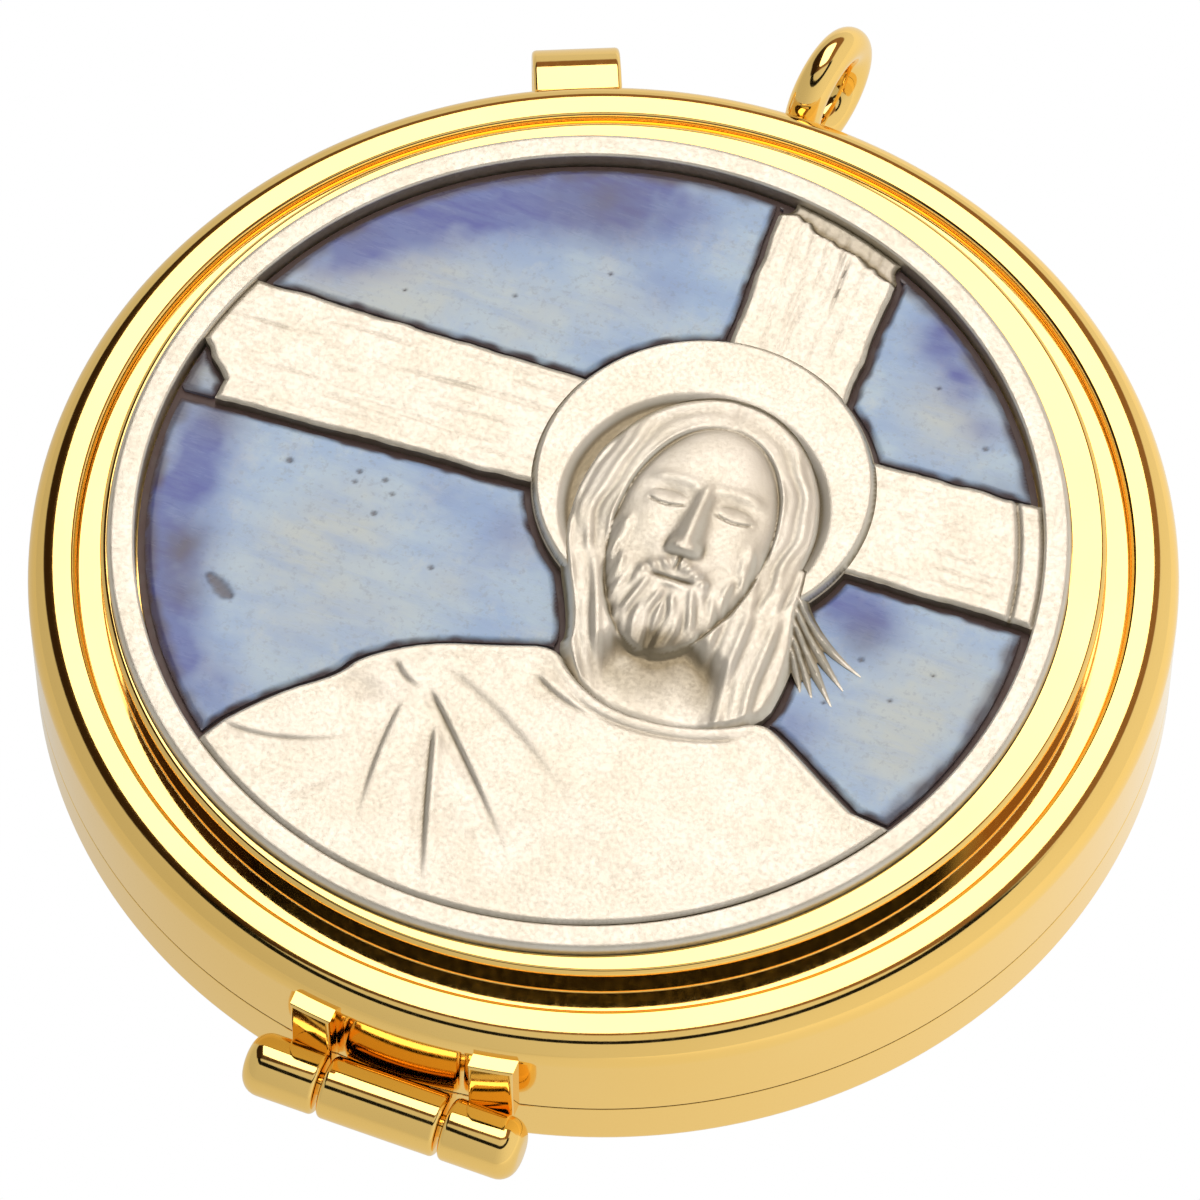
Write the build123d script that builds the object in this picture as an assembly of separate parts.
from build123d import *
from math import cos, radians, sin
import os

os.makedirs("parts", exist_ok=True)

# A round hinged case for altar breads, lying closed on its flat underside.
# Lengths are in millimetres and angles in degrees. The origin is the centre of
# the underside, Z goes up through the lid, and Y points from the hinge to the cord ring.

# Case
case_radius = 27.0
base_height = 3.1
seam_gap = 0.1
wall_thickness = 0.9
floor_thickness = 1.0
foot_rounding = 0.6
edge_break = 0.1

# Lid
rim_height = 8.4
rim_rounding = 1.4
rim_width = 2.4
groove_width = 1.1
groove_depth = 0.55
rim_inner_rounding = 0.4
groove_corner = 0.06
lid_plate_thickness = 0.75
pedestal_rise = 1.2
pedestal_rounding = 0.3
pedestal_wall = 1.3

# Collar of the base, inside the lid
collar_thickness = 0.8
collar_clearance = 0.3
collar_headroom = 0.7

# Hinge
hinge_shift = 0.5
knuckle_radius = 1.5
knuckle_end_length = 3.65
knuckle_middle_length = 5.75
knuckle_gap = 0.2
knuckle_end_rounding = 0.9
knuckle_edge_break = 0.25
hinge_wall_clearance = 0.1
hinge_pin_radius = 0.55
hinge_pin_clearance = 0.05
hinge_end_wall = 0.6
ear_top_below_rim = 1.15
ear_shift = 0.3
ear_width = 2.05
ear_thickness = 0.75
base_leaf_bottom = 0.75
base_leaf_thickness = 0.75
base_leaf_drop = 0.1
base_leaf_join_turn = 53.0

# Cord ring
cord_ring_wire = 1.8
cord_ring_bore = 3.2
cord_ring_bite = 0.3
cord_ring_below_rim = 2.7
cord_ring_turn = 10.0

# Catch: a sprung tongue on the lid and a keeper on the base
catch_turn = 24.0
catch_width = 4.3
catch_strip = 0.8
catch_top_below_rim = 1.0
catch_reach = 3.75
catch_bend_radius = 2.8
catch_edge_break = 0.2
catch_gap = 0.3
hook_bite = 0.5
hook_height = 0.65
hook_lip = 0.45
keeper_width = 3.4
keeper_height = 0.8
keeper_drop = 0.2
keeper_nose = 0.25

# Medal, glued in a recess of the lid's pedestal a little off its centre
medal_shift_x = -0.6
medal_shift_y = -0.28
medal_land = 1.0
medal_recess = 1.0
medal_seat = 0.05
medal_rim_width = 1.3
medal_rim_height = 1.5
medal_rim_rounding = 0.3
medal_rim_inner_rounding = 0.1
medal_fit = 0.1
back_plate_thickness = 0.45
cement_thickness = 0.2
shell_thickness = 0.35
shell_border = 0.3
shell_rim_border = 0.45
chip_border = 0.2

# Relief of the medal, placed from the medal's centre
relief_thickness = 0.75
cross_x = 5.8
cross_y = 5.1
cross_tilt = 2.5
beam_width = 6.0
beam_end_width = 8.0
notch_depth = 2.1
notch_low = 0.6
notch_high = 3.8
halo_x = 4.05
halo_y = 4.35
halo_radius = 8.1
halo_rise = 0.2
halo_dish_radius = 6.7
halo_dish_depth = 0.25
hair_x = 4.4
hair_y = 2.2
hair_half_width = 6.0
hair_half_height = 7.3
hair_rise = 0.7
face_x = 4.6
face_y = 1.0
face_half_width = 4.3
face_half_height = 6.3
face_rise = 1.15
chest_x = 3.0
chest_y = -14.0
chest_rise = 0.5
chest_dome_radius = 150.0

# Drawing of the figure: squares of its grid, and corners in squares from the medal's centre
figure_grid = 1.0
bust_corners = [
    (0.9, -6.3),
    (-2.0, -6.8),
    (-5.4, -8.1),
    (-8.5, -11.0),
    (-12.3, -13.9),
    (-12.6, -54.0),
    (54.0, -54.0),
    (54.0, -10.6),
    (17.6, -10.2),
    (15.4, -9.0),
    (12.6, -7.3),
    (11.2, -6.7),
    (9.4, -7.9),
    (7.0, -8.6),
    (4.6, -8.7),
    (2.4, -7.8),
]
lock_corners = [
    (-1.6, 1.6),
    (-1.2, -1.1),
    (1.1, -5.4),
    (0.9, -6.6),
    (3.2, -8.8),
    (8.4, -8.8),
    (11.3, -6.9),
    (11.4, -4.8),
    (11.8, -3.4),
    (13.6, -2.3),
    (11.8, -1.1),
    (10.8, -0.2),
    (10.4, 2.4),
]

# Heights and radii that follow from the sizes above
lid_bottom = base_height + seam_gap
lid_inner_radius = case_radius - wall_thickness
rim_inner_radius = case_radius - rim_width
pedestal_radius = rim_inner_radius - groove_width
groove_floor = rim_height - groove_depth
lid_ceiling = groove_floor - lid_plate_thickness
pedestal_top = rim_height + pedestal_rise
medal_foot = pedestal_top - medal_recess
pedestal_ceiling = medal_foot - lid_plate_thickness
collar_radius = lid_inner_radius - collar_clearance
collar_top = lid_ceiling - collar_headroom
hinge_y = -(case_radius + hinge_wall_clearance + knuckle_radius)
hinge_z = base_height + seam_gap / 2
medal_radius = pedestal_radius - medal_land
medal_inner_radius = medal_radius - medal_rim_width
inset_radius = medal_inner_radius - medal_fit
back_plate_top = medal_foot + back_plate_thickness
cement_top = back_plate_top + cement_thickness
reach = 2 * case_radius
medal_place = Pos(medal_shift_x, medal_shift_y, 0)


def turned(points, roundings):
    """A solid turned about Z from (radius, height) corners, some of them rounded."""
    with BuildPart() as body:
        with BuildSketch(Plane.XZ) as section:
            with BuildLine():
                Polyline(*points, close=True)
            make_face()
            for corner, radius in roundings:
                fillet(section.vertices().sort_by_distance((*corner, 0))[0], radius)
        revolve(axis=Axis.Z)
    return body.part


def bar(section, low_x, high_x):
    """A section drawn in Y and Z, carried along X."""
    return Pos(low_x, 0, 0) * extrude(Plane.YZ * section, amount=high_x - low_x)


# Outer form of the whole case, which what is soldered on is cut to
case_form = turned(
    [(0, 0), (case_radius, 0), (case_radius, rim_height), (0, rim_height)],
    [((case_radius, rim_height), rim_rounding)],
)


def outside_case(solid):
    """What is left of a solid outside the case, so that it seats on the wall."""
    return solid - case_form


# Base dish: floor and low outer wall
base_dish = turned(
    [
        (0, 0),
        (case_radius, 0),
        (case_radius, base_height),
        (collar_radius, base_height),
        (collar_radius, floor_thickness),
        (0, floor_thickness),
    ],
    [((case_radius, 0), foot_rounding), ((case_radius, base_height), edge_break)],
)

# Collar soldered inside the dish, which the lid closes over
collar_inner_radius = collar_radius - collar_thickness
base_collar = turned(
    [
        (collar_inner_radius, floor_thickness),
        (collar_radius, floor_thickness),
        (collar_radius, collar_top),
        (collar_inner_radius, collar_top),
    ],
    [
        ((collar_radius, collar_top), collar_thickness / 3),
        ((collar_inner_radius, collar_top), collar_thickness / 3),
    ],
)

# Lid: deep skirt, rounded rim, groove and raised pedestal
pedestal_bore = pedestal_radius - pedestal_wall
lid_blank = turned(
    [
        (0, pedestal_ceiling),
        (pedestal_bore, pedestal_ceiling),
        (pedestal_bore, lid_ceiling),
        (lid_inner_radius, lid_ceiling),
        (lid_inner_radius, lid_bottom),
        (case_radius, lid_bottom),
        (case_radius, rim_height),
        (rim_inner_radius, rim_height),
        (rim_inner_radius, groove_floor),
        (pedestal_radius, groove_floor),
        (pedestal_radius, pedestal_top),
        (0, pedestal_top),
    ],
    [
        ((case_radius, lid_bottom), edge_break),
        ((case_radius, rim_height), rim_rounding),
        ((rim_inner_radius, rim_height), rim_inner_rounding),
        ((rim_inner_radius, groove_floor), groove_corner),
        ((pedestal_radius, groove_floor), groove_corner),
        ((pedestal_radius, pedestal_top), pedestal_rounding),
    ],
)

recess_disc = Cylinder(medal_radius + medal_seat, 2 * medal_recess)
lid_shell = lid_blank - medal_place * Pos(0, 0, pedestal_top) * recess_disc

# Hinge: two eared knuckles on the lid, one on the base, and their pin
middle_half = knuckle_middle_length / 2
ear_start = middle_half + knuckle_gap
ear_end = ear_start + knuckle_end_length
pin_half = ear_end - hinge_end_wall - hinge_pin_clearance
hinge_line = Pos(hinge_shift, hinge_y, hinge_z) * Rot(0, 90, 0)
ear_top = rim_height - ear_top_below_rim
ear_height = ear_top - hinge_z
ear_radius = case_radius + ear_thickness


def barrel(low_x, high_x, low_rounding, high_rounding):
    """A knuckle on the hinge line, with a rounding at each end."""
    blank = hinge_line * Pos(0, 0, (low_x + high_x) / 2) * Cylinder(knuckle_radius, high_x - low_x)
    low_end = blank.edges().filter_by(GeomType.CIRCLE).sort_by(Axis.X)[0]
    half_done = fillet(low_end, low_rounding)
    high_end = half_done.edges().filter_by(GeomType.CIRCLE).sort_by(Axis.X)[-1]
    return fillet(high_end, high_rounding)


def ear(side, ear_barrel):
    """An eared knuckle of the lid: its barrel, under a plate bent round the wall."""
    plate_x = hinge_shift + ear_shift + side * (ear_start + knuckle_edge_break + ear_width / 2)
    plate_block = Box(ear_width, 4 * knuckle_radius, ear_height)
    plate = Pos(plate_x, hinge_y, hinge_z + ear_height / 2) * plate_block
    bend = Pos(0, 0, hinge_z) * Cylinder(ear_radius, 4 * rim_height)
    return outside_case(ear_barrel + (plate & bend)) - pin_bore


pin_bore = hinge_line * Cylinder(hinge_pin_radius + hinge_pin_clearance, 2 * (pin_half + hinge_pin_clearance))
left_barrel = barrel(-ear_end, -ear_start, knuckle_end_rounding, knuckle_edge_break)
right_barrel = barrel(ear_start, ear_end, knuckle_edge_break, knuckle_end_rounding)
lid_hinge_ear_left = ear(-1, left_barrel)
lid_hinge_ear_right = ear(1, right_barrel)

leaf_face = -(case_radius + base_leaf_thickness)
leaf_join = radians(base_leaf_join_turn)
leaf_outer = (hinge_y - knuckle_radius * cos(leaf_join), hinge_z - knuckle_radius * sin(leaf_join))
leaf_section = make_face(
    Polyline(
        (hinge_y, hinge_z),
        leaf_outer,
        (leaf_face, base_leaf_bottom + base_leaf_thickness / 2),
        (leaf_face, base_leaf_bottom),
        (-collar_radius, base_leaf_bottom),
        (-collar_radius, base_height - base_leaf_drop),
        close=True,
    )
)
leaf_half = middle_half - knuckle_edge_break
leaf = Pos(hinge_shift, 0, 0) * bar(leaf_section, -leaf_half, leaf_half)
middle_barrel = barrel(-middle_half, middle_half, knuckle_edge_break, knuckle_edge_break)
pin_hole = hinge_line * Cylinder(hinge_pin_radius, reach)
base_hinge_knuckle = outside_case(middle_barrel + leaf) - pin_hole
hinge_pin = hinge_line * Cylinder(hinge_pin_radius, 2 * pin_half)

# Cord ring: round wire standing opposite the hinge, soldered to the lid a little askew
cord_ring_radius = (cord_ring_bore + cord_ring_wire) / 2
cord_ring_y = case_radius + cord_ring_radius + cord_ring_wire / 2 - cord_ring_bite
cord_ring_z = rim_height - cord_ring_below_rim
cord_ring = outside_case(
    Pos(0, cord_ring_y, cord_ring_z)
    * Rot(0, 0, -cord_ring_turn)
    * Rot(0, 90, 0)
    * Torus(cord_ring_radius, cord_ring_wire / 2)
)

# Catch tongue: a bent strip from under the rim, hooked below the keeper
catch_top = rim_height - catch_top_below_rim
catch_outer = case_radius + catch_reach
catch_inner = catch_outer - catch_strip
bend_y = catch_outer - catch_bend_radius
keeper_nose_y = catch_inner - catch_gap
keeper_top = base_height - keeper_drop
keeper_bottom = keeper_top - keeper_height
hook_tip = keeper_nose_y - hook_bite
hook_top = keeper_bottom - catch_gap
hook_bottom = hook_top - hook_height
with BuildSketch() as tongue_section:
    with BuildLine():
        Polyline(
            (lid_inner_radius, catch_top),
            (catch_outer, catch_top),
            (catch_outer, hook_top),
            (catch_outer + hook_lip, hook_bottom),
            (hook_tip + hook_lip, hook_bottom),
            (hook_tip, hook_top),
            (catch_inner, hook_top),
            (catch_inner, catch_top - catch_strip),
            (lid_inner_radius, catch_top - catch_strip),
            close=True,
        )
    make_face()
    outer_corner = tongue_section.vertices().sort_by_distance((catch_outer, catch_top, 0))[0]
    fillet(outer_corner, catch_bend_radius)
    bend_point = (catch_inner, catch_top - catch_strip, 0)
    inner_corner = tongue_section.vertices().sort_by_distance(bend_point)[0]
    fillet(inner_corner, catch_bend_radius - catch_strip)
catch_place = Rot(0, 0, catch_turn)
tongue_blank = outside_case(bar(tongue_section.sketch, -catch_width / 2, catch_width / 2))
tongue_outer_edges = tongue_blank.edges().filter_by(
    lambda edge: edge.bounding_box().min.Y > bend_y - catch_edge_break
    and edge.bounding_box().min.Z > hook_top - catch_edge_break
    and abs(abs(edge.center().X) - catch_width / 2) < catch_edge_break
    and edge.center().Y > catch_inner + catch_edge_break
)
catch_tongue = catch_place * chamfer(tongue_outer_edges, catch_edge_break)

keeper_section = make_face(
    Polyline(
        (collar_radius, keeper_bottom),
        (keeper_nose_y, keeper_bottom),
        (keeper_nose_y, keeper_bottom + keeper_nose),
        (case_radius + catch_edge_break, keeper_top),
        (collar_radius, keeper_top),
        close=True,
    )
)
keeper_blank = bar(keeper_section, -keeper_width / 2, keeper_width / 2)
catch_keeper = catch_place * outside_case(keeper_blank)

# Medal: rim, back plate and the bed of cement that the relief and the shell lie in
medal_rim_top = medal_foot + medal_rim_height
medal_rim = medal_place * turned(
    [
        (medal_inner_radius, medal_foot),
        (medal_radius, medal_foot),
        (medal_radius, medal_rim_top),
        (medal_inner_radius, medal_rim_top),
    ],
    [
        ((medal_radius, medal_rim_top), medal_rim_rounding),
        ((medal_inner_radius, medal_rim_top), medal_rim_inner_rounding),
    ],
)
plate_middle = medal_foot + back_plate_thickness / 2
plate_disc = Cylinder(inset_radius, back_plate_thickness)
medal_back_plate = medal_place * Pos(0, 0, plate_middle) * plate_disc
cement_middle = back_plate_top + cement_thickness / 2
cement_disc = Cylinder(inset_radius, cement_thickness)
inlay_cement = medal_place * Pos(0, 0, cement_middle) * cement_disc


# Outlines of the relief, each grown by a margin for the border round the shell
def beam(turn, margin):
    """One beam of the cross, from the crossing outwards, a little wider at its end."""
    near = beam_width / 2 + margin
    far = beam_end_width / 2 + margin
    outline = Polyline((0, -near), (reach, -far), (reach, far), (0, near), close=True)
    return Pos(cross_x, cross_y) * Rot(0, 0, turn + cross_tilt) * make_face(outline)


def arm_notch():
    """The worn lower corner of the left arm, filled with a chip of shell."""
    edge = -medal_inner_radius
    return make_face(
        Polyline(
            (edge + notch_depth, notch_low - reach),
            (edge + notch_depth, notch_low + notch_depth / 2),
            (edge + notch_depth / 2, notch_low + notch_depth),
            (edge, notch_high),
            (-reach, notch_high),
            (-reach, notch_low - reach),
            close=True,
        )
    )


def drawn(corners, margin):
    """A face from corners of the figure's grid, grown by a margin."""
    face = make_face(Polyline(*[(x * figure_grid, y * figure_grid) for x, y in corners], close=True))
    return offset(face, margin) if margin else face


def bust(margin):
    """Shoulders and robe below the neckline, running on below the rim."""
    return drawn(bust_corners, margin)


def hair(margin):
    """Outline of head, neck and long hair, with a lock that lies out over the right shell."""
    crown = Pos(hair_x, hair_y) * Ellipse(hair_half_width + margin, hair_half_height + margin)
    return crown + drawn(lock_corners, margin)


def relief_outline(margin):
    """The whole silhouette of the relief, before the arm's corner is worn away."""
    cross = beam(0, margin) + beam(90, margin) + beam(180, margin)
    halo = Pos(halo_x, halo_y) * Circle(halo_radius + margin)
    return cross + halo + bust(margin) + hair(margin)


# Relief: cross, dished halo, hair, face form and robe, cast in one
inset_face = Circle(inset_radius)
flat_face = (relief_outline(0) - bust(0) - arm_notch()) & inset_face
flat_relief = extrude(flat_face, relief_thickness)
halo_block = Pos(halo_x, halo_y, 0) * extrude(Circle(halo_radius), relief_thickness + halo_rise)
dish_middle = relief_thickness + halo_rise
halo_dish = Pos(halo_x, halo_y, dish_middle) * Cylinder(halo_dish_radius, 2 * halo_dish_depth)
hair_dome = Pos(hair_x, hair_y, 0) * scale(
    Sphere(1), (hair_half_width, hair_half_height, relief_thickness + hair_rise)
)
face_dome = Pos(face_x, face_y, 0) * scale(
    Sphere(1), (face_half_width, face_half_height, relief_thickness + face_rise)
)
chest_top = relief_thickness + chest_rise
chest_dome = Pos(chest_x, chest_y, chest_top - chest_dome_radius) * Sphere(chest_dome_radius)
robe = extrude(bust(0) & inset_face, 2 * chest_top) & chest_dome
upper_half = Pos(0, 0, reach / 2) * Box(2 * reach, 2 * reach, reach)
heads = (hair_dome + face_dome) & upper_half
relief_body = flat_relief + halo_block - halo_dish + heads + robe
medal_relief = medal_place * Pos(0, 0, cement_top) * relief_body

# Shell: the fields left between the relief and the rim, less a border of cement, and the chip
field = Circle(inset_radius - shell_rim_border) - relief_outline(shell_border)
shell_faces = field.faces().sort_by(SortBy.AREA)[-4:]
shell_place = medal_place * Pos(0, 0, cement_top)
left_faces = shell_faces.filter_by(lambda face: face.center().X < 0).sort_by(Axis.Y)
right_faces = shell_faces.filter_by(lambda face: face.center().X > 0).sort_by(Axis.Y)
worn_corner = beam(180, 0) & arm_notch() & inset_face
shell_lower_left = shell_place * extrude(left_faces[0], shell_thickness)
shell_upper_left = shell_place * extrude(left_faces[1], shell_thickness)
shell_lower_right = shell_place * extrude(right_faces[0], shell_thickness)
shell_upper_right = shell_place * extrude(right_faces[1], shell_thickness)
shell_arm_chip = shell_place * extrude(offset(worn_corner, -chip_border), shell_thickness)

# One file for each piece
pieces = {
    "base_dish": base_dish,
    "base_collar": base_collar,
    "base_hinge_knuckle": base_hinge_knuckle,
    "hinge_pin": hinge_pin,
    "catch_keeper": catch_keeper,
    "lid_shell": lid_shell,
    "lid_hinge_ear_left": lid_hinge_ear_left,
    "lid_hinge_ear_right": lid_hinge_ear_right,
    "cord_ring": cord_ring,
    "catch_tongue": catch_tongue,
    "medal_rim": medal_rim,
    "medal_back_plate": medal_back_plate,
    "inlay_cement": inlay_cement,
    "medal_relief": medal_relief,
    "shell_upper_left": shell_upper_left,
    "shell_lower_left": shell_lower_left,
    "shell_arm_chip": shell_arm_chip,
    "shell_upper_right": shell_upper_right,
    "shell_lower_right": shell_lower_right,
}
for name, piece in pieces.items():
    export_step(piece, f"parts/{name}.step")
